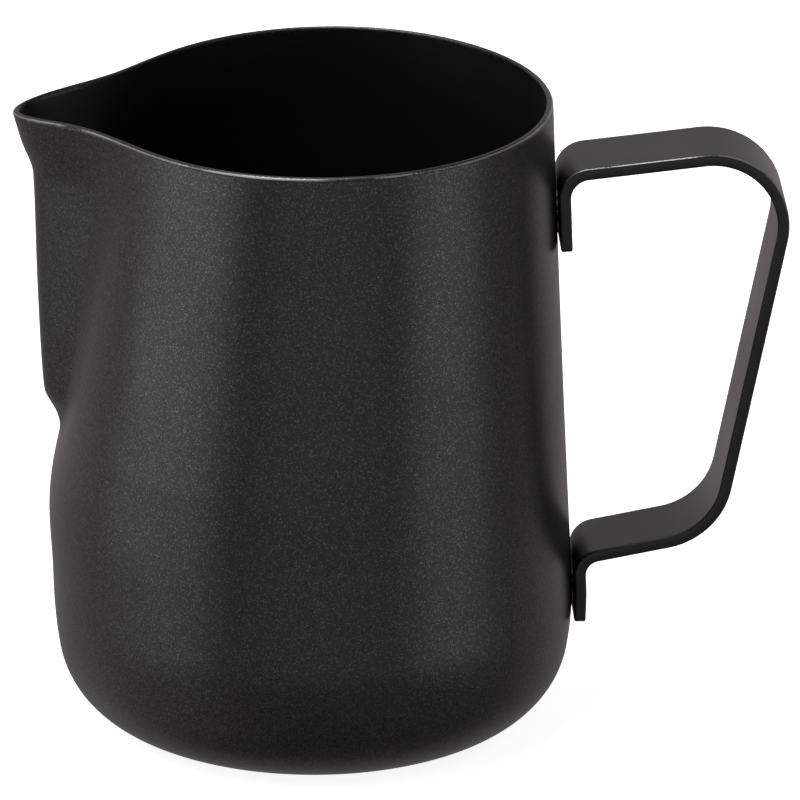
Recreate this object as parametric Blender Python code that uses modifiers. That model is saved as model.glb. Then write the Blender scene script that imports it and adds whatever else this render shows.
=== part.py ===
"""Milk frothing pitcher: a cup pressed from one sheet of steel, with a pouring spout, and a bent strap
handle that four spot welds hold to it.

Units are metres and +Z is up. The origin is on the cup's axis, in the plane of its base. The handle is at
+X and the spout at -X. Heights are measured from the base, and radii from the cup's axis."""

import math

import bmesh
import bpy
from mathutils import Matrix, Vector

MM = 0.001

# Cup, in profile: flat base, base corner arc, belly arc, then a straight taper that eases outwards
# to the rim.
CUP_HEIGHT = 111.2 * MM
BELLY_RADIUS = 45.0 * MM
BASE_CORNER_RADIUS = 14.6 * MM
BELLY_ARC_RADIUS = 56.3 * MM
BELLY_ARC_START = math.radians(9.3)
WALL_TAPER = math.radians(3.2)
MOUTH_EASE = 0.75 * MM
WALL_THICKNESS = 1.2 * MM

# Spout. It is pressed outwards from the wall above the notch. The wall beside it is drawn in, and the
# rim down.
NOTCH_HEIGHT = 53.3 * MM
SPOUT_RIDGE = (  # height and radius of the ridge, from just under the notch to the lip
    (47.3 * MM, 40.3 * MM),
    (55.1 * MM, 44.4 * MM),
    (59.3 * MM, 46.5 * MM),
    (79.4 * MM, 47.5 * MM),
    (99.4 * MM, 48.0 * MM),
    (105.3 * MM, 49.9 * MM),
    (111.2 * MM, 51.5 * MM),
)
NOSE_HALF_ANGLE = math.radians(25.3)
NOSE_NARROWING = math.radians(5.7)
NOSE_ROUNDING = 9.9 * MM
SPOUT_BLEND = 9.1 * MM
NOTCH_BLEND = 3.0 * MM
CREASE_DEPTH = 0.3 * MM
CREASE_REACH = 1.5 * MM
SIDE_DRAW = 4.5 * MM
SIDE_DRAW_SPREAD = math.radians(125.0)
RIM_DIP = 1.15 * MM
RIM_DIP_SPREAD = math.radians(23.0)
LIP_DROOP = 1.3 * MM
LIP_DROOP_SPREAD = math.radians(11.0)
DENT_DEPTH = 0.35 * MM
DENT_REACH = 5.0 * MM
DENT_SPREAD = math.radians(20.0)
SWELL_DEPTH = 1.7 * MM
SWELL_HEIGHT = 39.3 * MM
SWELL_REACH = 12.2 * MM
SWELL_SPREAD = math.radians(35.0)

# Handle: one strap, bent into a tab, an arm, a grip, an arm and a tab.
STRAP_WIDTH = 15.5 * MM
STRAP_THICKNESS = 2.05 * MM
STRAP_EDGE = 0.35 * MM
TAB_GAP = 0.35 * MM
UPPER_TAB_END = 85.7 * MM
UPPER_ARM_ROOT = 99.2 * MM
GRIP_TOP = (83.1 * MM, 103.8 * MM)
GRIP_BOTTOM = (69.4 * MM, 33.5 * MM)
LOWER_ARM_ROOT = 28.9 * MM
LOWER_TAB_MIDDLE = 22.5 * MM
LOWER_TAB_END = 17.3 * MM
BEND_RADII = (4.4 * MM, 12.3 * MM, 12.6 * MM, 3.6 * MM, 40.0 * MM)

# Spot welds: a nugget between wall and tab, in a pocket of each, and an electrode mark on the tab's
# outer face.
WELD_RADIUS = 1.7 * MM
WELD_CLEARANCE = 0.3 * MM
WELD_IN_WALL = 0.5 * MM
WELD_IN_TAB = 0.8 * MM
MARK_DEPTH = 0.15 * MM
MARK_TOOL_LENGTH = 1.0 * MM
WELD_SPACING = 4.2 * MM
TAB_END_TO_WELD = 2.6 * MM

# Mesh fineness, and the sizes that its tools work to.
TURN_STEPS = 72
SPOUT_CROWDING = 0.45
CORNER_STEPS = 6
BELLY_STEPS = 3
WALL_STEPS = 18
BEND_STEP = math.radians(9.0)
WELD_SIDES = 24
STRAP_EDGE_STEPS = 2
SHARP_ANGLE = math.radians(40.0)
MERGE_DISTANCE = 0.01 * MM

COAT_BLACK = (0.030, 0.029, 0.028, 1.0)
WELD_STEEL = (0.50, 0.49, 0.47, 1.0)


def clear_scene():
    for obj in list(bpy.data.objects):
        bpy.data.objects.remove(obj, do_unlink=True)


def collection_named(name):
    collection = bpy.data.collections.new(name)
    bpy.context.scene.collection.children.link(collection)
    return collection


def principled(name, colour, roughness, metallic):
    material = bpy.data.materials.new(name)
    material.use_nodes = True
    shader = material.node_tree.nodes["Principled BSDF"]
    shader.inputs["Base Color"].default_value = colour
    shader.inputs["Roughness"].default_value = roughness
    shader.inputs["Metallic"].default_value = metallic
    material.diffuse_color = colour
    return material


def object_from(mesh, name, collection, material=None):
    obj = bpy.data.objects.new(name, mesh)
    collection.objects.link(obj)
    if material:
        mesh.materials.append(material)
    return obj


def applied_mesh(obj):
    """The object's mesh with its modifiers applied. The object itself is removed."""
    bpy.context.view_layer.update()
    graph = bpy.context.evaluated_depsgraph_get()
    mesh = bpy.data.meshes.new_from_object(obj.evaluated_get(graph))
    bpy.data.objects.remove(obj, do_unlink=True)
    return mesh


# The turned cup


def arc_point(centre, radius, lean):
    """The point of an arc in the profile's plane where its normal leans this far above the horizontal."""
    return centre + radius * Vector((math.cos(lean), math.sin(lean)))


def cup_profile():
    """(radius, height) points down the outside of the cup, from the rim to the middle of the base."""
    between = BELLY_ARC_RADIUS - BASE_CORNER_RADIUS
    widest = BASE_CORNER_RADIUS + between * math.sin(BELLY_ARC_START)
    belly_centre = Vector((BELLY_RADIUS - BELLY_ARC_RADIUS, widest))
    corner_centre = arc_point(belly_centre, between, -BELLY_ARC_START)
    taper_start = arc_point(belly_centre, BELLY_ARC_RADIUS, WALL_TAPER)
    taper_height = CUP_HEIGHT - taper_start.y

    points = []
    for step in range(WALL_STEPS):
        rise = 1 - step / WALL_STEPS
        radius = taper_start.x - rise * taper_height * math.tan(WALL_TAPER) + MOUTH_EASE * rise**2
        points.append((radius, taper_start.y + rise * taper_height))
    for step in range(BELLY_STEPS):
        lean = WALL_TAPER - (WALL_TAPER + BELLY_ARC_START) * step / BELLY_STEPS
        points.append(tuple(arc_point(belly_centre, BELLY_ARC_RADIUS, lean)))
    for step in range(CORNER_STEPS + 1):
        lean = -BELLY_ARC_START - (math.pi / 2 - BELLY_ARC_START) * step / CORNER_STEPS
        points.append(tuple(arc_point(corner_centre, BASE_CORNER_RADIUS, lean)))
    return points + [(0.0, 0.0)]


def wall_radius(height):
    """The outer radius of the round cup at a height, read between the profile's points."""
    profile = cup_profile()
    for (r_high, z_high), (r_low, z_low) in zip(profile, profile[1:]):
        if z_low <= height <= z_high:
            return r_low + (r_high - r_low) * (height - z_low) / (z_high - z_low)
    raise ValueError(f"no wall at height {height}")


def turned_skin(points, name, collection):
    """The open surface that a profile sweeps about the Z axis."""
    mesh = bpy.data.meshes.new(name)
    edges = [(i, i + 1) for i in range(len(points) - 1)]
    mesh.from_pydata([(r, 0, z) for r, z in points], edges, [])
    obj = object_from(mesh, name, collection)
    screw = obj.modifiers.new("turn", "SCREW")
    screw.steps = screw.render_steps = TURN_STEPS
    screw.use_merge_vertices = True
    screw.merge_threshold = MERGE_DISTANCE
    screw.use_smooth_shade = True
    return applied_mesh(obj)


# The spout


def bell(angle, spread):
    """1 in front of the spout, falling to 0 at the spread."""
    return 0.5 + 0.5 * math.cos(math.pi * min(abs(angle) / spread, 1))


def smooth_max(a, b, blend):
    overlap = max(blend - abs(a - b), 0) / blend
    return max(a, b) + overlap * overlap * blend / 4


def ridge_slope(index):
    """The ridge's slope at one of its points, chosen so that the curve through them never overshoots."""
    steps = [(r1 - r0) / (z1 - z0) for (z0, r0), (z1, r1) in zip(SPOUT_RIDGE, SPOUT_RIDGE[1:])]
    below, above = steps[max(index - 1, 0)], steps[min(index, len(steps) - 1)]
    return 2 * below * above / (below + above)


def ridge_radius(height):
    """The spout's radius in its plane of symmetry, or 0 below the spout."""
    if height <= SPOUT_RIDGE[0][0]:
        return 0.0
    index = max(i for i, (z, _) in enumerate(SPOUT_RIDGE[:-1]) if z < height)
    (z0, r0), (z1, r1) = SPOUT_RIDGE[index : index + 2]
    span = z1 - z0
    t = (height - z0) / span
    start, end = ridge_slope(index) * span, ridge_slope(index + 1) * span
    chord = r1 - r0
    return r0 + start * t + (3 * chord - 2 * start - end) * t**2 + (start + end - 2 * chord) * t**3


def nose_radius(angle, ridge, half_angle):
    """Where a ray from the axis meets the nose, whose plan is a V with a rounded tip (a hyperbola's branch)."""
    if abs(angle) > math.pi / 2 or ridge <= 0:
        return 0.0
    slope = 1 / math.tan(half_angle)
    reach = ridge + slope * NOSE_ROUNDING
    inside = reach**2 - (slope * NOSE_ROUNDING) ** 2
    c, s = math.cos(angle), math.sin(angle)
    return inside / (reach * c + slope * math.sqrt((NOSE_ROUNDING * c) ** 2 + inside * s * s))


def hump(angle, height, centre, reach, spread):
    """1 on the spout's side at a height, fading out smoothly above, below and to both sides."""
    return math.exp(-((angle / spread) ** 2) - ((height - centre) / reach) ** 2)


def pressed(angle, radius, height):
    """The radius and height that the press gives a point of the round cup at this angle from the spout."""
    rise = max(height - NOTCH_HEIGHT, 0) / (CUP_HEIGHT - NOTCH_HEIGHT)
    side = bell(angle, SIDE_DRAW_SPREAD)
    drawn = radius - SIDE_DRAW * rise * side
    nose = nose_radius(angle, ridge_radius(height), NOSE_HALF_ANGLE - NOSE_NARROWING * (1 - rise))
    radius = smooth_max(drawn, nose, NOTCH_BLEND + (SPOUT_BLEND - NOTCH_BLEND) * rise**1.5)
    radius -= CREASE_DEPTH * (1 - rise) * math.exp(-(((drawn - nose) / CREASE_REACH) ** 2))
    radius += SWELL_DEPTH * hump(angle, height, SWELL_HEIGHT, SWELL_REACH, SWELL_SPREAD)
    radius -= DENT_DEPTH * hump(angle, height, NOTCH_HEIGHT, DENT_REACH, DENT_SPREAD)
    dip = RIM_DIP * side * (1 - math.exp(-((angle / RIM_DIP_SPREAD) ** 2)))
    dip += LIP_DROOP * math.exp(-((angle / LIP_DROOP_SPREAD) ** 2))
    return radius, height - dip * rise**2


def press_spout(mesh):
    """Moves the points of a turned skin to where the press leaves them. They also crowd towards the spout."""
    for vertex in mesh.vertices:
        radius = math.hypot(vertex.co.x, vertex.co.y)
        if radius < MERGE_DISTANCE:
            continue
        angle = math.atan2(vertex.co.y, -vertex.co.x)
        angle -= SPOUT_CROWDING * math.sin(angle)
        height = vertex.co.z
        if height > BASE_CORNER_RADIUS / 2:
            radius, height = pressed(angle, radius, height)
        vertex.co = (-radius * math.cos(angle), radius * math.sin(angle), height)


def make_body(collection, material):
    mesh = turned_skin(cup_profile(), "pitcher_body", collection)
    press_spout(mesh)
    body = object_from(mesh, "pitcher_body", collection, material)
    wall = body.modifiers.new("wall", "SOLIDIFY")
    wall.thickness = WALL_THICKNESS
    wall.offset = -1
    wall.use_even_offset = True
    wall.use_quality_normals = True
    return body


# The handle


def strap_centreline():
    """(x, z) points along the middle of the strap, from the upper tab's end to the lower tab's end."""
    off_wall = TAB_GAP + STRAP_THICKNESS / 2
    corners = [Vector((wall_radius(z) + off_wall, z)) for z in (UPPER_TAB_END, UPPER_ARM_ROOT)]
    corners += [Vector(GRIP_TOP), Vector(GRIP_BOTTOM)]
    lower = (LOWER_ARM_ROOT, LOWER_TAB_MIDDLE, LOWER_TAB_END)
    corners += [Vector((wall_radius(z) + off_wall, z)) for z in lower]
    points = [corners[0]]
    for before, corner, after, radius in zip(corners, corners[1:], corners[2:], BEND_RADII):
        points += bend(before, corner, after, radius)
    return points + [corners[-1]]


def bend(before, corner, after, radius):
    """The points of an arc that rounds a corner."""
    back, ahead = (before - corner).normalized(), (after - corner).normalized()
    half = back.angle(ahead) / 2
    centre = corner + (back + ahead).normalized() * radius / math.sin(half)
    start, end = (corner + side * radius / math.tan(half) - centre for side in (back, ahead))
    turn = math.copysign(math.pi - 2 * half, start.cross(end))
    steps = max(3, round(abs(turn) / BEND_STEP))
    return [centre + Matrix.Rotation(turn * i / steps, 2) @ start for i in range(steps + 1)]


def make_strap(collection, material):
    """A ribbon drawn out sideways from the centreline, then thickened, with its edges rounded."""
    build = bmesh.new()
    verts = [build.verts.new((p.x, -STRAP_WIDTH / 2, p.y)) for p in strap_centreline()]
    edges = [build.edges.new(pair) for pair in zip(verts, verts[1:])]
    swept = bmesh.ops.extrude_edge_only(build, edges=edges)["geom"]
    moved = [item for item in swept if isinstance(item, bmesh.types.BMVert)]
    bmesh.ops.translate(build, verts=moved, vec=(0, STRAP_WIDTH, 0))
    bmesh.ops.recalc_face_normals(build, faces=build.faces)
    mesh = bpy.data.meshes.new("handle_strap")
    build.to_mesh(mesh)
    build.free()
    mesh.shade_smooth()
    mesh.set_sharp_from_angle(angle=SHARP_ANGLE)
    strap = object_from(mesh, "handle_strap", collection, material)
    thicken = strap.modifiers.new("thickness", "SOLIDIFY")
    thicken.thickness = STRAP_THICKNESS
    thicken.offset = 0
    thicken.use_even_offset = True
    rounded = strap.modifiers.new("edges", "BEVEL")
    rounded.width = STRAP_EDGE
    rounded.segments = STRAP_EDGE_STEPS
    rounded.limit_method = "ANGLE"
    rounded.angle_limit = SHARP_ANGLE
    return strap


# The welds


def weld_frame(height):
    """A point on the wall's outside at a height on the handle's side, and the outward normal there."""
    below, above = height - WELD_RADIUS, height + WELD_RADIUS
    lean = math.atan2(wall_radius(below) - wall_radius(above), above - below)
    return Vector((wall_radius(height), 0, height)), Vector((math.cos(lean), 0, math.sin(lean)))


def disc(name, height, radius, inner, outer, collection, material=None):
    """A round disc across the weld's axis, between two distances out from the wall's surface."""
    point, normal = weld_frame(height)
    build = bmesh.new()
    depth = outer - inner
    ends = {"radius1": radius, "radius2": radius, "depth": depth}
    bmesh.ops.create_cone(build, cap_ends=True, segments=WELD_SIDES, **ends)
    mesh = bpy.data.meshes.new(name)
    build.to_mesh(mesh)
    build.free()
    mesh.shade_smooth()
    mesh.set_sharp_from_angle(angle=SHARP_ANGLE)
    obj = object_from(mesh, name, collection, material)
    obj.location = point + normal * (inner + outer) / 2
    obj.rotation_euler = normal.to_track_quat("Z", "Y").to_euler()
    return obj


def cut(target, cutter):
    cutter.hide_render = True
    cutter.display_type = "WIRE"
    boolean = target.modifiers.new(cutter.name, "BOOLEAN")
    boolean.operation = "DIFFERENCE"
    boolean.solver = "EXACT"
    boolean.object = cutter


def make_weld(name, height, body, strap, parts, cutters, material):
    """One nugget, its pocket in the wall and the tab, and the electrode's mark on the tab."""
    tab_face = TAB_GAP + STRAP_THICKNESS
    pocket_top = TAB_GAP + WELD_IN_TAB
    pocket_radius = WELD_RADIUS + WELD_CLEARANCE
    pocket = disc(name + "_pocket", height, pocket_radius, -WELD_IN_WALL, pocket_top, cutters)
    mark_bottom = tab_face - MARK_DEPTH
    mark = disc(name + "_mark", height, WELD_RADIUS, mark_bottom, tab_face + MARK_TOOL_LENGTH, cutters)
    cut(body, pocket)
    cut(strap, pocket)
    cut(strap, mark)
    inner, outer = WELD_CLEARANCE - WELD_IN_WALL, pocket_top - WELD_CLEARANCE
    disc(name, height, WELD_RADIUS, inner, outer, parts, material)


def main():
    clear_scene()
    parts = collection_named("milk_frothing_pitcher")
    cutters = collection_named("weld_cutters")
    cup_coat = principled("cup_coat", COAT_BLACK, 0.45, 0.0)
    strap_coat = principled("strap_coat", COAT_BLACK, 0.40, 0.0)
    weld_metal = principled("weld_metal", WELD_STEEL, 0.35, 1.0)

    body = make_body(parts, cup_coat)
    strap = make_strap(parts, strap_coat)
    for tab, end in (("upper", UPPER_TAB_END), ("lower", LOWER_TAB_END)):
        low = end + TAB_END_TO_WELD
        for place, height in (("bottom", low), ("top", low + WELD_SPACING)):
            make_weld(f"spot_weld_{tab}_{place}", height, body, strap, parts, cutters, weld_metal)


main()
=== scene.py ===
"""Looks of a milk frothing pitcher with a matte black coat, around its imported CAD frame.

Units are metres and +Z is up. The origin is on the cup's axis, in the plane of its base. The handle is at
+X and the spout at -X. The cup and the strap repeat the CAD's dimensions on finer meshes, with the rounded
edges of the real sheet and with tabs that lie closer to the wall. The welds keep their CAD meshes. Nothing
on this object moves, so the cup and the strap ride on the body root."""

import math

import bpy
import numpy as np
from mathutils import Matrix, Vector


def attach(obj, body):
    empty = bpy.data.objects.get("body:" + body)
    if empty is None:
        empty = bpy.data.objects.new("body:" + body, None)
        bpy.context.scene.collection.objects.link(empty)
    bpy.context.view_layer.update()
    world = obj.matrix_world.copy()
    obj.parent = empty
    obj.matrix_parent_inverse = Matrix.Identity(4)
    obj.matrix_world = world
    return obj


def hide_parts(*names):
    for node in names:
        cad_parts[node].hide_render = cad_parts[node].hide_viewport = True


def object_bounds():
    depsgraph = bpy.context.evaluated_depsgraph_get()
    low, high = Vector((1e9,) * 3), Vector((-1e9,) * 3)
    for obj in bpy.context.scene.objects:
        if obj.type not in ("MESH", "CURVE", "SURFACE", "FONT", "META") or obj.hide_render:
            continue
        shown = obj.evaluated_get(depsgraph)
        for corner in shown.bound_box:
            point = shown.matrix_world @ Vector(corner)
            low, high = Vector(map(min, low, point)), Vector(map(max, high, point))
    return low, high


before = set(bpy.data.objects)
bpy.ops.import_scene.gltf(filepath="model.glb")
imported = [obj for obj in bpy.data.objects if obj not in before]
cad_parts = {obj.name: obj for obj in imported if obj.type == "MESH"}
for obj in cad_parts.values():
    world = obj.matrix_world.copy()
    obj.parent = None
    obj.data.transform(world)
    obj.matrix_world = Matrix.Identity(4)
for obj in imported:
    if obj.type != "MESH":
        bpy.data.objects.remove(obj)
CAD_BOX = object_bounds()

MM = 0.001

# Cup, in profile: flat base, base corner arc, belly arc, then a straight taper that eases out to the rim.
CUP_HEIGHT = 111.2 * MM
BELLY_RADIUS = 45.0 * MM
BASE_CORNER_RADIUS = 14.6 * MM
BELLY_ARC_RADIUS = 56.3 * MM
BELLY_ARC_START = math.radians(9.3)
WALL_TAPER = math.radians(3.2)
MOUTH_EASE = 0.75 * MM
WALL_THICKNESS = 1.2 * MM

# Spout. It is pressed outwards from the wall above the notch, with a shallow crease along each side. The
# wall beside it is drawn in, and the rim down.
NOTCH_HEIGHT = 53.3 * MM
SPOUT_RIDGE = (  # height and radius of the ridge, from just under the notch to the lip
    (47.3 * MM, 40.3 * MM),
    (55.1 * MM, 44.4 * MM),
    (59.3 * MM, 46.5 * MM),
    (79.4 * MM, 47.5 * MM),
    (99.4 * MM, 48.0 * MM),
    (105.3 * MM, 49.9 * MM),
    (111.2 * MM, 51.5 * MM),
)
NOSE_HALF_ANGLE = math.radians(25.3)
NOSE_NARROWING = math.radians(5.7)
NOSE_ROUNDING = 9.9 * MM
SPOUT_BLEND = 9.1 * MM  # how softly it meets the wall at the rim
NOTCH_BLEND = 3.0 * MM  # and at the notch
BLEND_RISE = 1.5
CREASE_DEPTH = 0.3 * MM
CREASE_REACH = 1.5 * MM
SIDE_DRAW = 4.5 * MM
SIDE_DRAW_SPREAD = math.radians(125.0)
RIM_DIP = 1.15 * MM
RIM_DIP_SPREAD = math.radians(23.0)
LIP_DROOP = 1.3 * MM
LIP_DROOP_SPREAD = math.radians(11.0)
DENT_DEPTH = 0.35 * MM
DENT_REACH = 5.0 * MM
DENT_SPREAD = math.radians(20.0)
SWELL_DEPTH = 1.7 * MM
SWELL_HEIGHT = 39.3 * MM
SWELL_REACH = 12.2 * MM
SWELL_SPREAD = math.radians(35.0)

# Rim of the cup: fully rounded, with a tighter curve on its inner side.
RIM_OUTER_ROUND = 0.75 * MM
RIM_INNER_ROUND = 0.45 * MM

# Handle: one strap, bent into a tab, an arm, a grip, an arm and a tab.
STRAP_WIDTH = 15.5 * MM
STRAP_THICKNESS = 2.05 * MM
STRAP_EDGE = 0.40 * MM
STRAP_END_CORNER = 0.1  # share of the edge's radius that is left at the very ends
TAB_GAP = 0.15 * MM
UPPER_TAB_END = 85.7 * MM
UPPER_ARM_ROOT = 99.2 * MM
GRIP_TOP = (83.1 * MM, 103.8 * MM)
GRIP_BOTTOM = (69.4 * MM, 33.5 * MM)
LOWER_ARM_ROOT = 28.9 * MM
LOWER_TAB_MIDDLE = 22.5 * MM
LOWER_TAB_END = 17.3 * MM
BEND_RADII = (4.4 * MM, 12.3 * MM, 12.6 * MM, 3.6 * MM, 40.0 * MM)

# Electrode marks: shallow round dimples over the welds, on the outer faces of the tabs.
MARK_RADIUS = 1.7 * MM
MARK_DEPTH = 0.15 * MM
MARK_FLATNESS = 4
MARK_SPACING = 4.2 * MM
TAB_END_TO_MARK = 2.6 * MM

# Mesh fineness.
TURN_STEPS = 320
SPOUT_CROWDING = 0.45
WALL_STEPS = 84
BELLY_STEPS = 16
CORNER_STEPS = 24
BASE_STEPS = 12
RIM_STEPS = 7
STRAP_STEP = 0.6 * MM
BEND_STEP = math.radians(3.0)
LEAST_BEND_STEPS = 3
EDGE_STEPS = 5

# Material slots of the cup and the strap, where slot 0 is the coat. The worn ones take up a few rows of
# faces on the rim's outer round and on the two edges of the strap's outer face.
CUP_INSIDE, CUP_WORN, STRAP_WORN = 1, 2, 1
WORN_RIM_ROWS = (3, 5)  # the first one, and the one after the last
WORN_STRAP_ROWS = 3
FAR_WEAR_OFFSET = 1  # rows that the far edge's wear lies further round than the near edge's

# A noise is given by its scale, per metre, and its detail. Most of its values lie in this range.
NOISE_RANGE = (0.3, 0.7)

# Coat. Tones are linear, grain is the bump's depth, and flakes is the share of the cells that are metal.
OUTSIDE_COAT = {
    "dark": (0.016, 0.0149, 0.0149),
    "light": (0.026, 0.0242, 0.0242),
    "roughness": 0.35,
    "grain": 0.008 * MM,
    "flakes": 0.5,
}
# The inside coat is the outer coat made much darker: painted shade for the inside of the cup. It is also
# rougher and has no flakes.
INSIDE_COAT_WITH_PAINTED_SHADE = {
    "dark": (0.004, 0.004, 0.004),
    "light": (0.006, 0.006, 0.006),
    "roughness": 0.5,
    "grain": 0.005 * MM,
    "flakes": 0.0,
}
STRAP_COAT = {
    "dark": (0.006, 0.006, 0.006),
    "light": (0.014, 0.014, 0.014),
    "roughness": 0.35,
    "grain": 0.004 * MM,
    "flakes": 0.0,
}
EDGE_COAT = {**STRAP_COAT, "roughness": 0.33}
ROUGHNESS_SPREAD = 0.03
CLOUDS = (60.0, 3.0)
PEEL = (1100.0, 2.0)
SPECKLES_PER_METRE = 5200.0
FLAKE_TONES = ((0.044, 0.043, 0.044), (0.145, 0.142, 0.150))
FLAKE_CONTRAST = 3.0

# Wear, where bare steel shows through the coat along an edge. Chips and patches are added up, and the steel
# starts to show and shows fully at two sums, which a worn edge lowers.
RIM_WEAR = 0.9
STRAP_WEAR = 1.0
CHIPS = (3200.0, 2.0)
PATCHES = (110.0, 1.0)
CHIP_WEIGHT = 0.4
SHOWING = (0.80, 0.95)
WEAR_REACH = 0.25
BARE_SHARE = 0.6
BARE_STEEL = (0.46, 0.45, 0.43)

# Weld steel.
WELD_TONES = ((0.52, 0.50, 0.47), (0.33, 0.30, 0.32))
WELD_GRAIN = (1800.0, 4.0)
WELD_HEAT = (350.0, 2.0)
WELD_HEAT_RANGE = (0.4, 0.6)
WELD_ROUGHNESS = (0.3, 0.5)
WELD_GRAIN_DEPTH = 0.02 * MM

# Camera: where it stands, seen from the object's middle.
CAMERA_DISTANCE = 1.5
CAMERA_AZIMUTH = math.radians(-2.6)
CAMERA_ELEVATION = math.radians(21.07)
CAMERA_ROLL = math.radians(0.26)
CAMERA_AIM = Vector((14.9, -0.2, 56.15)) * MM
CAMERA_LENS = 390.6
CAMERA_SENSOR = 36.0
CAMERA_CLIP = (0.1, 100.0)

# Floor.
FLOOR_REACH = 30.0
FLOOR_TONE = 0.86
FLOOR_ROUGHNESS = 0.9
FLOOR_GLOW = 0.88

# Softboxes: azimuth and elevation in degrees, width, height, and radiance. Azimuth 0 is on the camera's
# side, and 90 is at +X.
LAMP_DISTANCE = 1.5
SOFTBOXES = {
    "left": (-73, -2, 1.4, 0.8, 1.4),
    "right": (60, -2, 1.0, 0.8, 1.35),
    "front": (0, -2, 1.7, 0.8, 0.45),
    "high_left": (-68, 45, 1.8, 0.6, 1.8),
    "high_right": (45, 45, 2.2, 0.6, 0.6),
    "top": (-110, 78, 0.7, 0.7, 9.0),
}

# Room that the coat reflects. Its parts fade between pairs of direction components: up, to the back (the
# share of the level part that points at +Y) or to the right (the share that points at +X).
ROOM_TINT = (1.0, 0.93, 0.92)
HORIZON = (-0.04, 0.04)
WALL_LIGHT = 0.47
WALL_SIDE = (0.42, 0.62)
WALL_TOP = (0.55, 0.70)
GROUND_LIGHT = (0.23, 0.53)  # at the sides and in front, and at the back
GROUND_TURN = (0.0, 0.6)
GROUND_DEPTH = (-0.42, -0.20)
GROUND_DEEP_SHARE = 0.58
GLOW_LIGHT = 0.24
GLOW_SIDE = (-0.95, -0.4)
GLOW_TOP = (-0.55, -0.35)
GLOW_BOTTOM = (-0.90, -0.65)


# Grids of points


def grid_mesh(name, rows):
    """A closed mesh through rows of points. Each row is a ring, and the first and last rings are filled."""
    count, around = rows.shape[:2]
    ring = np.arange(around)
    here = (np.arange(count - 1)[:, None] * around + ring).ravel()
    right = (np.arange(count - 1)[:, None] * around + np.roll(ring, -1)).ravel()
    quads = np.stack([here, here + around, right + around, right], 1).tolist()
    last = (count - 1) * around
    quads += [ring.tolist(), (last + ring[::-1]).tolist()]
    mesh = bpy.data.meshes.new(name)
    mesh.from_pydata(rows.reshape(-1, 3).tolist(), [], quads)
    mesh.validate()
    mesh.update()
    mesh.shade_smooth()
    return mesh


def unit(vectors):
    return vectors / np.linalg.norm(vectors, axis=-1, keepdims=True)


# The cup


def arc_points(centre, radius, leans):
    """Points of an arc in the profile's plane, by how far their normals lean above the horizontal."""
    return centre + radius * np.stack([np.cos(leans), np.sin(leans)], 1)


def cup_profile():
    """(radius, height) points down the outside of the round cup, from the rim to near the base's middle."""
    between = BELLY_ARC_RADIUS - BASE_CORNER_RADIUS
    start = BELLY_ARC_START
    centre_height = BASE_CORNER_RADIUS + between * math.sin(start)
    belly_centre = np.array([BELLY_RADIUS - BELLY_ARC_RADIUS, centre_height])
    corner_centre = arc_points(belly_centre, between, np.array([-start]))[0]
    taper_start = arc_points(belly_centre, BELLY_ARC_RADIUS, np.array([WALL_TAPER]))[0]
    taper_height = CUP_HEIGHT - taper_start[1]

    rise = np.linspace(1, 0, WALL_STEPS, endpoint=False)
    radius = taper_start[0] - rise * taper_height * math.tan(WALL_TAPER) + MOUTH_EASE * rise**2
    wall = np.stack([radius, taper_start[1] + rise * taper_height], 1)
    leans = np.linspace(WALL_TAPER, -start, BELLY_STEPS, endpoint=False)
    belly = arc_points(belly_centre, BELLY_ARC_RADIUS, leans)
    corner = arc_points(corner_centre, BASE_CORNER_RADIUS, np.linspace(-start, -math.pi / 2, CORNER_STEPS))
    flat = np.linspace(corner[-1, 0], 0, BASE_STEPS, endpoint=False)[1:]
    base = np.stack([flat, np.zeros_like(flat)], 1)
    return np.concatenate([wall, belly, corner, base])


def wall_radius(height):
    profile = cup_profile()[: WALL_STEPS + BELLY_STEPS + CORNER_STEPS]
    return float(np.interp(height, profile[::-1, 1], profile[::-1, 0]))


def bell(angle, spread):
    """1 in front of the spout, falling to 0 at the spread."""
    return 0.5 + 0.5 * np.cos(np.pi * np.minimum(np.abs(angle) / spread, 1))


def smooth_max(a, b, blend):
    overlap = np.maximum(blend - np.abs(a - b), 0) / blend
    return np.maximum(a, b) + overlap**2 * blend / 4


def ridge_slopes():
    """The ridge's slope at each of its points, chosen so that the curve through them never overshoots."""
    z, r = np.array(SPOUT_RIDGE).T
    steps = np.diff(r) / np.diff(z)
    below, above = np.append(steps[0], steps), np.append(steps, steps[-1])
    return 2 * below * above / (below + above)


def ridge_radius(height):
    """The spout's radius in its plane of symmetry, or 0 below the spout."""
    z, r = np.array(SPOUT_RIDGE).T
    slopes = ridge_slopes()
    index = np.clip(np.searchsorted(z, height) - 1, 0, len(z) - 2)
    span = z[index + 1] - z[index]
    t = (height - z[index]) / span
    start, end, chord = slopes[index] * span, slopes[index + 1] * span, r[index + 1] - r[index]
    radius = r[index] + start * t + (3 * chord - 2 * start - end) * t**2 + (start + end - 2 * chord) * t**3
    return np.where(height <= z[0], 0.0, radius)


def nose_radius(angle, ridge, half_angle):
    """Where a ray from the axis meets the nose. Its plan is a V with a round tip: a hyperbola's branch."""
    slope = 1 / np.tan(half_angle)
    reach = ridge + slope * NOSE_ROUNDING
    inside = reach**2 - (slope * NOSE_ROUNDING) ** 2
    c, s = np.cos(angle), np.sin(angle)
    radius = inside / (reach * c + slope * np.sqrt((NOSE_ROUNDING * c) ** 2 + inside * s**2))
    return np.where((np.abs(angle) > np.pi / 2) | (ridge <= 0), 0.0, radius)


def hump(angle, height, centre, reach, spread):
    """1 on the spout's side at a height, fading out smoothly above, below and to both sides."""
    return np.exp(-((angle / spread) ** 2) - ((height - centre) / reach) ** 2)


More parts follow.
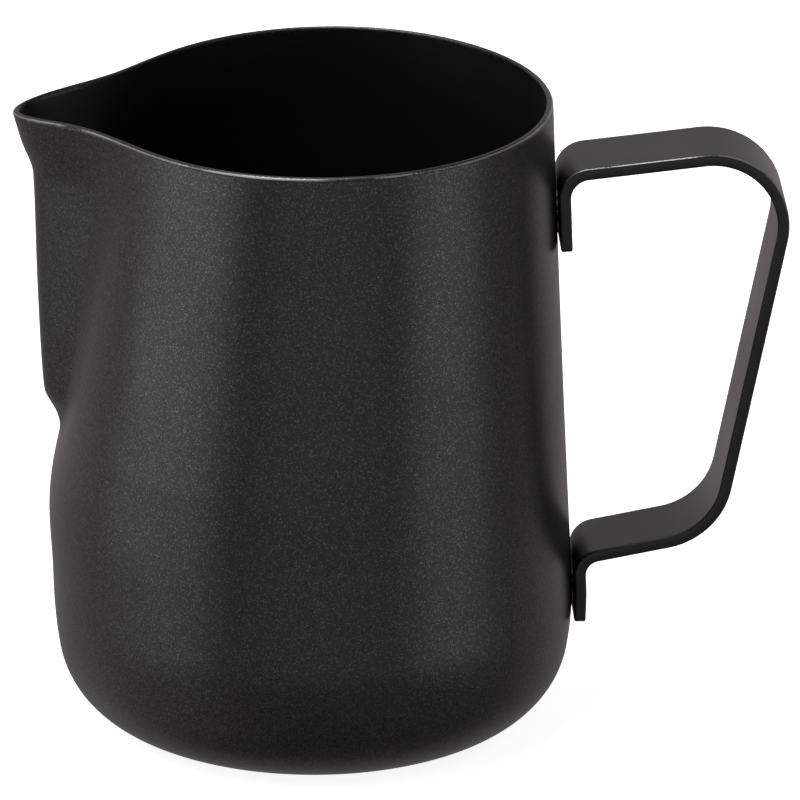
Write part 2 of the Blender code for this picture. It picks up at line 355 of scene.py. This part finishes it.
def pressed(angle, radius, height):
    """The radius and height that the press gives the round cup's points, at these angles from the spout."""
    rise = np.maximum(height - NOTCH_HEIGHT, 0) / (CUP_HEIGHT - NOTCH_HEIGHT)
    side = bell(angle, SIDE_DRAW_SPREAD)
    drawn = radius - SIDE_DRAW * rise * side
    nose = nose_radius(angle, ridge_radius(height), NOSE_HALF_ANGLE - NOSE_NARROWING * (1 - rise))
    made = smooth_max(drawn, nose, NOTCH_BLEND + (SPOUT_BLEND - NOTCH_BLEND) * rise**BLEND_RISE)
    made -= CREASE_DEPTH * (1 - rise) * np.exp(-(((drawn - nose) / CREASE_REACH) ** 2))
    made += SWELL_DEPTH * hump(angle, height, SWELL_HEIGHT, SWELL_REACH, SWELL_SPREAD)
    made -= DENT_DEPTH * hump(angle, height, NOTCH_HEIGHT, DENT_REACH, DENT_SPREAD)
    dip = RIM_DIP * side * (1 - np.exp(-((angle / RIM_DIP_SPREAD) ** 2)))
    dip += LIP_DROOP * np.exp(-((angle / LIP_DROOP_SPREAD) ** 2))
    shaped = height > BASE_CORNER_RADIUS / 2  # the base stays round and flat
    return np.where(shaped, made, radius), np.where(shaped, height - dip * rise**2, height)


def outer_skin():
    """Rings of points down the outside of the cup, from the rim to near the middle of the base."""
    profile = cup_profile()
    angle = np.linspace(-np.pi, np.pi, TURN_STEPS, endpoint=False)
    angle = (angle - SPOUT_CROWDING * np.sin(angle))[None]
    radius, height = pressed(angle, profile[:, :1], profile[:, 1:])
    radius, height = radius + 0 * angle, height + 0 * angle
    return np.stack([-radius * np.cos(angle), radius * np.sin(angle), height], 2)


def skin_normals(skin):
    down = np.gradient(skin, axis=0)
    across = np.roll(skin, -1, 1) - np.roll(skin, 1, 1)
    return unit(np.cross(across, down))


def rim_rings(edge, down, inward):
    """Rings over the rim, from the inside of the wall to the outside."""
    turn = np.linspace(0, np.pi / 2, RIM_STEPS + 1)
    inner, outer = RIM_INNER_ROUND, RIM_OUTER_ROUND
    across = WALL_THICKNESS - inner + inner * np.cos(turn)
    depth = inner - inner * np.sin(turn)
    across = np.append(across, outer - outer * np.sin(turn[1:]))
    depth = np.append(depth, outer - outer * np.cos(turn[1:]))
    return edge + across[:, None, None] * inward + depth[:, None, None] * down


def cup_mesh():
    """The inside of the cup from the middle of its floor up, the rim, and the outside down to the base."""
    outside = outer_skin()
    normals = skin_normals(outside)
    inside = outside - WALL_THICKNESS * normals
    down = unit(outside[1] - outside[0])
    level = -normals[0] * (1, 1, 0)
    rim = rim_rings(outside[0], down, unit(level))
    rows = np.concatenate([inside[:0:-1], rim, outside[1:]])
    mesh = grid_mesh("pitcher_cup", rows)
    slots = np.zeros(len(mesh.polygons), np.int32)
    # The inner faces take the darkened inside coat, which paints in the shade inside the cup.
    slots[: (len(inside) - 2) * TURN_STEPS] = CUP_INSIDE
    slots[-2] = CUP_INSIDE  # the middle of the floor, which fills the first ring
    outer_round = len(inside) - 1 + RIM_STEPS
    first, end = (TURN_STEPS * (outer_round + row) for row in WORN_RIM_ROWS)
    slots[first:end] = CUP_WORN
    mesh.polygons.foreach_set("material_index", slots)
    return mesh


# The strap handle


def bend(before, corner, after, radius):
    """The points of an arc that rounds a corner."""
    back, ahead = (before - corner).normalized(), (after - corner).normalized()
    half = back.angle(ahead) / 2
    centre = corner + (back + ahead).normalized() * radius / math.sin(half)
    start, end = (corner + side * radius / math.tan(half) - centre for side in (back, ahead))
    turn = math.copysign(math.pi - 2 * half, start.cross(end))
    steps = max(LEAST_BEND_STEPS, round(abs(turn) / BEND_STEP))
    return [centre + Matrix.Rotation(turn * i / steps, 2) @ start for i in range(steps + 1)]


def strap_centreline():
    """(x, z) points along the middle of the strap, from the upper tab's end to the lower tab's end."""
    off_wall = TAB_GAP + STRAP_THICKNESS / 2
    corners = [Vector((wall_radius(z) + off_wall, z)) for z in (UPPER_TAB_END, UPPER_ARM_ROOT)]
    corners += [Vector(GRIP_TOP), Vector(GRIP_BOTTOM)]
    lower = (LOWER_ARM_ROOT, LOWER_TAB_MIDDLE, LOWER_TAB_END)
    corners += [Vector((wall_radius(z) + off_wall, z)) for z in lower]
    runs = [[corners[0]]]
    for before, corner, after, radius in zip(corners, corners[1:], corners[2:], BEND_RADII):
        runs.append(bend(before, corner, after, radius))
    runs.append([corners[-1]])
    points = []
    for run, following in zip(runs, runs[1:]):
        gap = following[0] - run[-1]
        steps = max(1, round(gap.length / STRAP_STEP))
        points += run + [run[-1] + gap * i / steps for i in range(1, steps)]
    return np.array([tuple(p) for p in points + runs[-1]])


def strap_section(inset):
    """(across, out) points round the strap's section, drawn in by an inset: flats with rounded edges."""
    wide, thick = STRAP_WIDTH / 2 - inset, STRAP_THICKNESS / 2 - inset
    edge = max(STRAP_EDGE - inset, STRAP_END_CORNER * STRAP_EDGE)
    turn = np.linspace(0, np.pi / 2, EDGE_STEPS + 1)
    flats = round(STRAP_WIDTH / STRAP_STEP)
    face = np.linspace(-1, 1, flats + 1)[1:-1] * (wide - edge)
    corner = np.stack([wide - edge + edge * np.sin(turn), thick - edge + edge * np.cos(turn)], 1)
    top = np.stack([face, np.full_like(face, thick)], 1)
    side = np.concatenate([top, corner, corner[::-1] * (1, -1)])
    return np.concatenate([side, -side])


def strap_mesh():
    """The section swept along the centreline, with rounded ends."""
    line = strap_centreline()
    ahead = unit(np.gradient(line, axis=0))
    out = np.stack([-ahead[:, 1], ahead[:, 0]], 1)
    turn = np.linspace(0, np.pi / 2, EDGE_STEPS + 1)[:-1]
    insets = STRAP_EDGE * (1 - np.sin(turn))
    pushes = STRAP_EDGE * (1 - np.cos(turn))
    rows = []
    for inset, push in zip(insets, pushes):
        rows.append(swept(strap_section(inset), line[0] + ahead[0] * push, out[0]))
    for point, side in zip(line[1:-1], out[1:-1]):
        rows.append(swept(strap_section(0.0), point, side))
    for inset, push in zip(insets[::-1], pushes[::-1]):
        rows.append(swept(strap_section(inset), line[-1] - ahead[-1] * push, out[-1]))
    rows = np.array(rows)
    for end in (UPPER_TAB_END, LOWER_TAB_END):
        for height in (end + TAB_END_TO_MARK, end + TAB_END_TO_MARK + MARK_SPACING):
            dimple(rows, height)
    mesh = grid_mesh("strap_handle", rows)
    around = rows.shape[1]
    place = np.arange((len(rows) - 1) * around) % around
    far_edge = round(STRAP_WIDTH / STRAP_STEP) - 1
    near_edge = around - 1
    slots = np.zeros(len(mesh.polygons), np.int32)
    for first in (far_edge + FAR_WEAR_OFFSET, near_edge - WORN_STRAP_ROWS):
        slots[: len(place)][(place >= first) & (place < first + WORN_STRAP_ROWS)] = STRAP_WORN
    mesh.polygons.foreach_set("material_index", slots)
    return mesh


def swept(section, point, side):
    """A section's points in space, at a point of the centreline."""
    across, out = section.T
    return np.stack([point[0] + out * side[0], across, point[1] + out * side[1]], 1)


def dimple(rows, height):
    """Presses a shallow round mark into the tab's outer face at a height."""
    face = wall_radius(height) + TAB_GAP + STRAP_THICKNESS
    aside = np.hypot(rows[..., 1], rows[..., 2] - height) / MARK_RADIUS
    near = (aside < 1) & (np.abs(rows[..., 0] - face) < STRAP_THICKNESS / 2)
    rows[..., 0] -= np.where(near, MARK_DEPTH * (1 - aside**MARK_FLATNESS), 0)


# Materials


def new_material(name, **constants):
    """A Principled material with constant values set on the shader's own sockets."""
    material = bpy.data.materials.new(name)
    material.use_nodes = True
    shader = material.node_tree.nodes["Principled BSDF"]
    for socket, value in constants.items():
        shader.inputs[socket.replace("_", " ")].default_value = value
    return material


class Nodes:
    """A short way to add nodes to a tree and join them."""

    def __init__(self, tree):
        self.tree = tree

    def add(self, kind, inputs=(), **settings):
        node = self.tree.nodes.new(kind)
        for name, value in settings.items():
            setattr(node, name, value)
        for socket, value in dict(inputs).items():
            if isinstance(value, bpy.types.NodeSocket):
                self.tree.links.new(value, node.inputs[socket])
            else:
                node.inputs[socket].default_value = value
        return node

    def maths(self, operation, *values):
        return self.add("ShaderNodeMath", enumerate(values), operation=operation).outputs[0]

    def span(self, value, low, high, to_low=0.0, to_high=1.0, smooth=False):
        """A value carried from one range to another, and held at its ends."""
        kind = "SMOOTHSTEP" if smooth else "LINEAR"
        inputs = {"Value": value, "From Min": low, "From Max": high, "To Min": to_low, "To Max": to_high}
        return self.add("ShaderNodeMapRange", inputs, interpolation_type=kind).outputs[0]

    def mix(self, share, *colours):
        """The colour between two colours, each of them a socket or a plain triple."""
        start, end = (c if isinstance(c, bpy.types.NodeSocket) else (*c, 1) for c in colours)
        return self.add("ShaderNodeMix", {0: share, 6: start, 7: end}, data_type="RGBA").outputs[2]

    def noise(self, place, scale, detail):
        inputs = {"Vector": place, "Scale": scale, "Detail": detail}
        return self.add("ShaderNodeTexNoise", inputs).outputs["Fac"]

    def bump(self, height, depth):
        inputs = {"Height": height, "Strength": 1.0, "Distance": depth}
        return self.add("ShaderNodeBump", inputs).outputs[0]


def coat(name, dark, light, roughness, grain, flakes):
    """A baked black coat: speckled colour, uneven gloss, an orange-peel bump and fine metal flakes."""
    material = new_material(name)
    nodes = Nodes(material.node_tree)
    shader = material.node_tree.nodes["Principled BSDF"]
    place = nodes.add("ShaderNodeTexCoord").outputs["Object"]
    cloud = nodes.noise(place, *CLOUDS)
    peel = nodes.noise(place, *PEEL)
    cells = nodes.add("ShaderNodeTexVoronoi", {"Vector": place, "Scale": SPECKLES_PER_METRE})
    chance, shine, _ = nodes.add("ShaderNodeSeparateColor", {0: cells.outputs["Color"]}).outputs
    metal = nodes.mix(nodes.maths("POWER", shine, FLAKE_CONTRAST), *FLAKE_TONES)
    flake = nodes.maths("GREATER_THAN", chance, 1 - flakes)
    colour = nodes.mix(flake, nodes.mix(chance, dark, light), metal)
    gloss = nodes.span(cloud, *NOISE_RANGE, roughness - ROUGHNESS_SPREAD, roughness + ROUGHNESS_SPREAD)
    links = material.node_tree.links
    links.new(colour, shader.inputs["Base Color"])
    links.new(gloss, shader.inputs["Roughness"])
    links.new(flake, shader.inputs["Metallic"])
    links.new(nodes.bump(peel, grain), shader.inputs["Normal"])
    return material


def worn_edge(name, wear):
    """The coat along an edge of the sheet, with the steel showing through in a thin, broken line."""
    material = coat(name, **EDGE_COAT)
    nodes = Nodes(material.node_tree)
    shader = material.node_tree.nodes["Principled BSDF"]
    place = nodes.add("ShaderNodeTexCoord").outputs["Object"]
    chips = nodes.noise(place, *CHIPS)
    patches = nodes.noise(place, *PATCHES)
    rubbed = nodes.maths("MULTIPLY_ADD", chips, CHIP_WEIGHT, patches)
    showing = (level - WEAR_REACH * wear for level in SHOWING)
    shows = nodes.span(rubbed, *showing, 0.0, BARE_SHARE, smooth=True)
    painted = shader.inputs["Base Color"].links[0].from_socket
    links = material.node_tree.links
    links.new(nodes.mix(shows, painted, BARE_STEEL), shader.inputs["Base Color"])
    links.new(shows, shader.inputs["Metallic"])
    return material


def steel(name):
    """Bare spot-weld steel: grey, blued at places, with a crystalline grain."""
    material = new_material(name, Metallic=1.0)
    nodes = Nodes(material.node_tree)
    shader = material.node_tree.nodes["Principled BSDF"]
    place = nodes.add("ShaderNodeTexCoord").outputs["Object"]
    grain = nodes.noise(place, *WELD_GRAIN)
    heat = nodes.noise(place, *WELD_HEAT)
    links = material.node_tree.links
    links.new(nodes.mix(nodes.span(heat, *WELD_HEAT_RANGE), *WELD_TONES), shader.inputs["Base Color"])
    links.new(nodes.span(grain, *NOISE_RANGE, *WELD_ROUGHNESS), shader.inputs["Roughness"])
    links.new(nodes.bump(grain, WELD_GRAIN_DEPTH), shader.inputs["Normal"])
    return material


# The pieces


def add_piece(mesh, node, slot, *materials):
    obj = bpy.data.objects.new(mesh.name, mesh)
    bpy.context.scene.collection.objects.link(obj)
    for material in materials:
        mesh.materials.append(material)
    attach(obj, "root")
    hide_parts(node)


def add_pieces():
    outside = coat("coat_outside", **OUTSIDE_COAT)
    # Its darker tones are painted shade for the inside of the cup.
    inside = coat("coat_inside_painted_shade", **INSIDE_COAT_WITH_PAINTED_SHADE)
    strap = coat("coat_strap", **STRAP_COAT)
    worn_rim, worn_strap = worn_edge("worn_rim", RIM_WEAR), worn_edge("worn_strap", STRAP_WEAR)
    add_piece(cup_mesh(), "pitcher_body", "cup_coat", outside, inside, worn_rim)
    add_piece(strap_mesh(), "handle_strap", "strap_coat", strap, worn_strap)
    metal = steel("weld_metal")
    for name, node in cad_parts.items():
        if name.startswith("spot_weld"):
            node.data.materials.clear()
            node.data.materials.append(metal)


# The stage


def add_camera():
    data = bpy.data.cameras.new("camera")
    data.lens, data.sensor_width = CAMERA_LENS, CAMERA_SENSOR
    data.clip_start, data.clip_end = CAMERA_CLIP
    camera = bpy.data.objects.new("camera", data)
    bpy.context.scene.collection.objects.link(camera)
    level = Vector((math.sin(CAMERA_AZIMUTH), -math.cos(CAMERA_AZIMUTH), 0))
    back = level * math.cos(CAMERA_ELEVATION) + Vector((0, 0, math.sin(CAMERA_ELEVATION)))
    look = (-back).to_track_quat("-Z", "Y").to_matrix() @ Matrix.Rotation(CAMERA_ROLL, 3, "Z")
    camera.matrix_world = Matrix.Translation(CAMERA_AIM + back * CAMERA_DISTANCE) @ look.to_4x4()
    bpy.context.scene.camera = camera


def add_floor():
    """A pale, lit floor, like a light table: the coat doesn't reflect it, and it hides no lamp."""
    material = new_material("floor", Roughness=FLOOR_ROUGHNESS, Specular_IOR_Level=0.0)
    shader = material.node_tree.nodes["Principled BSDF"]
    shader.inputs["Emission Strength"].default_value = FLOOR_GLOW
    shader.inputs["Base Color"].default_value = (FLOOR_TONE, FLOOR_TONE, FLOOR_TONE, 1)
    shader.inputs["Emission Color"].default_value = (1, 1, 1, 1)
    mesh = bpy.data.meshes.new("floor")
    corners = [(x * FLOOR_REACH, y * FLOOR_REACH, 0) for x, y in ((-1, -1), (1, -1), (1, 1), (-1, 1))]
    mesh.from_pydata(corners, [], [(0, 1, 2, 3)])
    mesh.materials.append(material)
    floor = bpy.data.objects.new("floor", mesh)
    floor.location.z = CAD_BOX[0].z
    floor.visible_glossy = floor.visible_diffuse = floor.visible_shadow = False
    bpy.context.scene.collection.objects.link(floor)


def add_softbox(name, azimuth, elevation, wide, tall, radiance):
    """A softbox that faces the object."""
    data = bpy.data.lights.new(name, "AREA")
    data.shape = "RECTANGLE"
    data.size, data.size_y = wide, tall
    data.energy = math.pi * wide * tall * radiance
    lamp = bpy.data.objects.new(name, data)
    a, e = math.radians(azimuth), math.radians(elevation)
    back = Vector((math.sin(a) * math.cos(e), -math.cos(a) * math.cos(e), math.sin(e)))
    lamp.location = CAMERA_AIM + back * LAMP_DISTANCE
    lamp.rotation_mode = "QUATERNION"
    lamp.rotation_quaternion = back.to_track_quat("Z", "Y")
    bpy.context.scene.collection.objects.link(lamp)


def room_light(nodes, x, y, z):
    """The room's light by direction: a backdrop, a ground brightest at the back, and a glow low left."""
    squares = (nodes.maths("MULTIPLY", x, x), nodes.maths("MULTIPLY", y, y))
    level = nodes.maths("SQRT", nodes.maths("ADD", *squares))
    to_back = nodes.maths("DIVIDE", y, level)
    to_right = nodes.maths("DIVIDE", x, level)
    above = nodes.span(z, *HORIZON)
    below = nodes.span(z, *HORIZON, 1.0, 0.0)

    wall = nodes.span(to_back, *WALL_SIDE, 0.0, WALL_LIGHT, smooth=True)
    wall = nodes.maths("MULTIPLY", wall, nodes.maths("MULTIPLY", above, nodes.span(z, *WALL_TOP, 1.0, 0.0)))
    ground = nodes.span(to_back, *GROUND_TURN, *GROUND_LIGHT, smooth=True)
    depth = nodes.maths("MULTIPLY", nodes.span(z, *GROUND_DEPTH, GROUND_DEEP_SHARE, 1.0), below)
    ground = nodes.maths("MULTIPLY", ground, depth)
    glow = nodes.span(to_right, *GLOW_SIDE, GLOW_LIGHT, 0.0)
    band = nodes.maths("MULTIPLY", nodes.span(z, *GLOW_TOP, 1.0, 0.0), nodes.span(z, *GLOW_BOTTOM))
    glow = nodes.maths("MULTIPLY", glow, band)
    return nodes.maths("ADD", nodes.maths("ADD", wall, ground), glow)


def add_world():
    """A dim, faintly warm room for the coat to reflect. The camera sees it white."""
    world = bpy.data.worlds.new("studio")
    bpy.context.scene.world = world
    world.use_nodes = True
    nodes = Nodes(world.node_tree)
    back = world.node_tree.nodes["Background"]
    towards = nodes.add("ShaderNodeTexCoord").outputs["Generated"]
    x, y, z = nodes.add("ShaderNodeSeparateXYZ", {0: towards}).outputs
    seen = nodes.add("ShaderNodeLightPath").outputs["Is Camera Ray"]
    strength = nodes.add("ShaderNodeMix", {0: seen, 2: room_light(nodes, x, y, z), 3: 1.0}).outputs[0]
    world.node_tree.links.new(strength, back.inputs["Strength"])
    world.node_tree.links.new(nodes.mix(seen, ROOM_TINT, (1, 1, 1)), back.inputs["Color"])


def add_stage():
    add_camera()
    add_floor()
    add_world()
    for name, placing in SOFTBOXES.items():
        add_softbox(name, *placing)
    bpy.context.scene.view_settings.view_transform = "Standard"


add_pieces()
add_stage()
